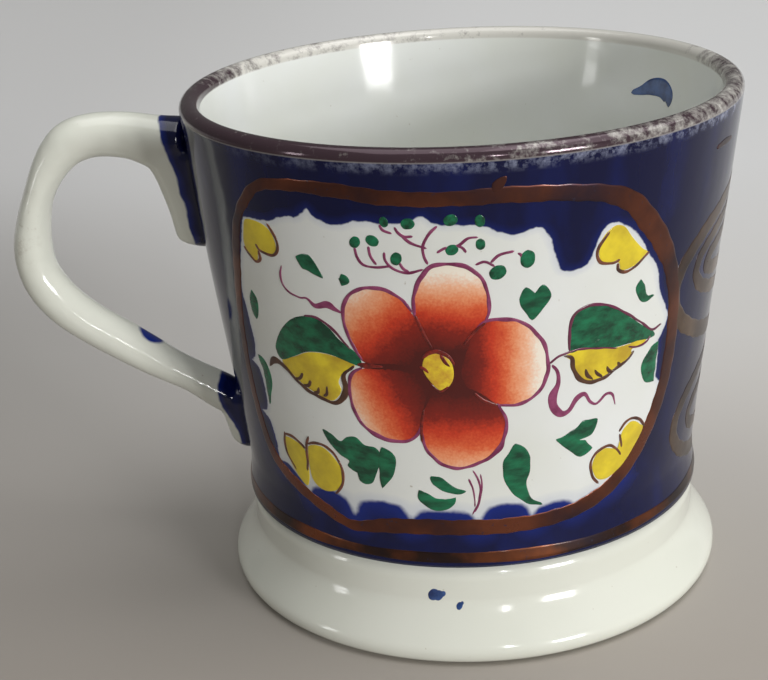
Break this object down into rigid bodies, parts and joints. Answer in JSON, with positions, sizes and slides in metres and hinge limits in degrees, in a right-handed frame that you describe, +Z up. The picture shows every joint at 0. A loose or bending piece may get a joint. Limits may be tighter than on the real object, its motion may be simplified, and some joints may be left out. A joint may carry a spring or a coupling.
{
  "type": "shaving mug",
  "caption": "Footed pottery mug with a flaring wall, a hollow spreading foot and one loop handle; cobalt ground, flower panel and copper lustre bands.",
  "frame": {"origin": "on the mug's axis, at the plane that the foot ring stands on", "axes": "+Z up along the mug's axis; the handle points along -X; the main painted panel faces -Y"},
  "size_m": [0.125, 0.0938, 0.086],
  "materials": {
    "white_glaze": "gloss",
    "cobalt_glaze": "gloss",
    "copper_lustre": "gloss",
    "red_enamel": "gloss",
    "green_enamel": "gloss",
    "yellow_enamel": "gloss",
    "purple_enamel": "gloss"
  },
  "bodies": {
    "root": {"cup_wall": "cobalt_glaze", "cup_floor": "white_glaze", "foot": "white_glaze", "handle": "white_glaze", "upper_handle_tail": "white_glaze", "lower_handle_tail": "white_glaze"}
  },
  "joints": []
}
